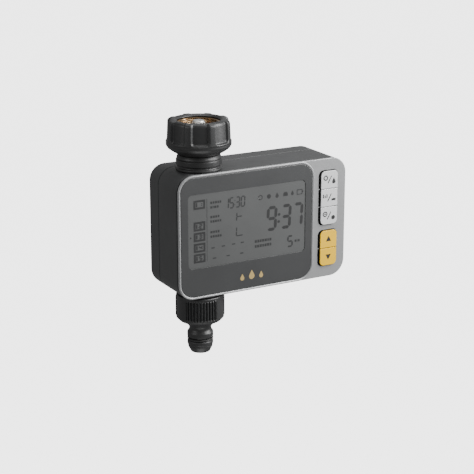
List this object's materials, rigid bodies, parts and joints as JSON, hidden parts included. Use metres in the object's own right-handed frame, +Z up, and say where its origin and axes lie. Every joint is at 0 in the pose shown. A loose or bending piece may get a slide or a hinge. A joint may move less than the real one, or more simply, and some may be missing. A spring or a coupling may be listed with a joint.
{
  "type": "irrigation controller",
  "caption": "Tap-mounted irrigation controller: wide display case with a key column, swivel inlet nut on top and a quick-connect hose nozzle below.",
  "frame": {"origin": "on the water axis, at the sealing face of the filter washer inside the inlet nut, where the tap's end presses", "axes": "+Z up along the water path towards the tap; the display faces -Y; +X runs to the right across the display"},
  "size_m": [0.125, 0.0505, 0.1566],
  "materials": {
    "bezel_silver": "silver paint, satin",
    "housing_grey": "moulded, fine texture",
    "fitting_black": "moulded, semi-gloss",
    "key_silver": "satin",
    "key_yellow": "satin",
    "lens_smoked": "polished",
    "lcd_glass": "polished",
    "print_dark": "printed",
    "print_gold": "printed",
    "reflector_white": "moulded",
    "acetal_white": "moulded",
    "rubber_black": "moulded",
    "rubber_grey": "moulded",
    "brass": "turned",
    "filter_mesh": "woven wire",
    "steel": "plated",
    "ball_chrome": "polished",
    "board_green": "lacquered",
    "cell_wrap": "printed film"
  },
  "bodies": {
    "case": {"bezel": "bezel_silver", "display_lens": "lens_smoked", "lens_gasket": "rubber_black", "front_housing": "housing_grey", "rear_housing": "housing_grey", "housing_screw_1": "steel", "housing_screw_2": "steel", "housing_screw_3": "steel", "housing_screw_4": "steel", "keypad_membrane": "rubber_grey", "lcd_panel": "lcd_glass", "lcd_reflector": "reflector_white", "zebra_strip": "rubber_grey", "control_board": "board_green", "board_screw_1": "steel", "board_screw_2": "steel", "battery_tray": "reflector_white", "battery_1": "cell_wrap", "battery_2": "cell_wrap", "contact_spring": "steel", "contact_tab": "steel", "contact_bridge": "steel", "battery_lead": "rubber_black", "inlet_neck": "brass", "neck_collar": "fitting_black", "neck_o_ring": "rubber_black", "valve_body": "acetal_white", "seat_upper": "acetal_white", "seat_lower": "acetal_white", "stem_o_ring": "rubber_black", "outlet_spigot": "fitting_black", "gearbox_case": "acetal_white", "gearbox_lid": "acetal_white", "gear_shaft_1": "steel", "gear_shaft_2": "steel", "motor": "steel", "limit_switch": "rubber_black", "motor_lead": "rubber_black"},
    "swivel_nut": {"inlet_nut": "fitting_black", "brass_insert": "brass"},
    "filter": {"filter_washer": "rubber_black", "filter_screen": "filter_mesh"},
    "select_key_1": {"select_key_1": "key_silver"},
    "select_key_2": {"select_key_2": "key_silver"},
    "select_key_3": {"select_key_3": "key_silver"},
    "up_key": {"up_key": "key_yellow"},
    "down_key": {"down_key": "key_yellow"},
    "ball": {"valve_ball": "ball_chrome", "ball_stem": "brass", "ball_gear": "acetal_white"},
    "idler_gear_2": {"idler_gear_2": "acetal_white"},
    "idler_gear_1": {"idler_gear_1": "acetal_white"},
    "motor_pinion": {"motor_pinion": "brass"},
    "outlet_washer": {"outlet_washer": "rubber_black"},
    "outlet_adaptor": {"outlet_adaptor": "fitting_black", "nozzle_o_ring": "rubber_black"},
    "battery_door": {"battery_door": "housing_grey", "battery_door_seal": "rubber_black"}
  },
  "joints": [
    {"name": "nut_swivel", "type": "hinge", "parent": "case", "child": "swivel_nut", "pos_m": [0, 0, 0], "axis": [0, 0, 1], "continuous": true},
    {"name": "filter_lift", "type": "slide", "parent": "case", "child": "filter", "axis": [0, 0, 1], "range_m": [0, 0.028]},
    {"name": "select_key_1_press", "type": "slide", "parent": "case", "child": "select_key_1", "axis": [0, 1, 0], "range_m": [0, 0.0008], "stiffness_N_per_m": 400},
    {"name": "select_key_2_press", "type": "slide", "parent": "case", "child": "select_key_2", "axis": [0, 1, 0], "range_m": [0, 0.0008], "stiffness_N_per_m": 400},
    {"name": "select_key_3_press", "type": "slide", "parent": "case", "child": "select_key_3", "axis": [0, 1, 0], "range_m": [0, 0.0008], "stiffness_N_per_m": 400},
    {"name": "up_key_press", "type": "slide", "parent": "case", "child": "up_key", "axis": [0, 1, 0], "range_m": [0, 0.0008], "stiffness_N_per_m": 400},
    {"name": "down_key_press", "type": "slide", "parent": "case", "child": "down_key", "axis": [0, 1, 0], "range_m": [0, 0.0008], "stiffness_N_per_m": 400},
    {"name": "ball_turn", "type": "hinge", "parent": "case", "child": "ball", "pos_m": [0, 0, -0.05], "axis": [0, 1, 0], "range_deg": [0, 90]},
    {"name": "idler_2_turn", "type": "hinge", "parent": "case", "child": "idler_gear_2", "pos_m": [0.01605, 0, -0.06347], "axis": [0, 1, 0], "range_deg": [-300, 0]},
    {"name": "idler_1_turn", "type": "hinge", "parent": "case", "child": "idler_gear_1", "pos_m": [0.0351, 0, -0.06011], "axis": [0, 1, 0], "range_deg": [0, 900]},
    {"name": "pinion_turn", "type": "hinge", "parent": "case", "child": "motor_pinion", "pos_m": [0.02849, 0, -0.04192], "axis": [0, 1, 0], "range_deg": [-2700, 0]},
    {"name": "outlet_travel", "type": "slide", "parent": "case", "child": "outlet_washer", "axis": [0, 0, -1], "range_m": [0, 0.01088]},
    {"name": "outlet_screw", "type": "hinge", "parent": "outlet_washer", "child": "outlet_adaptor", "pos_m": [0, 0, -0.11], "axis": [0, 0, -1], "range_deg": [0, 2160]},
    {"name": "door_lift", "type": "slide", "parent": "case", "child": "battery_door", "axis": [0, 1, 0], "range_m": [0, 0.025]}
  ],
  "couplings": [
    {"joint": "idler_2_turn", "follows": "ball_turn", "ratio": -3.3333},
    {"joint": "idler_1_turn", "follows": "ball_turn", "ratio": 10},
    {"joint": "pinion_turn", "follows": "ball_turn", "ratio": -30},
    {"joint": "outlet_screw", "follows": "outlet_travel", "rad_per_m": 3463.7}
  ]
}
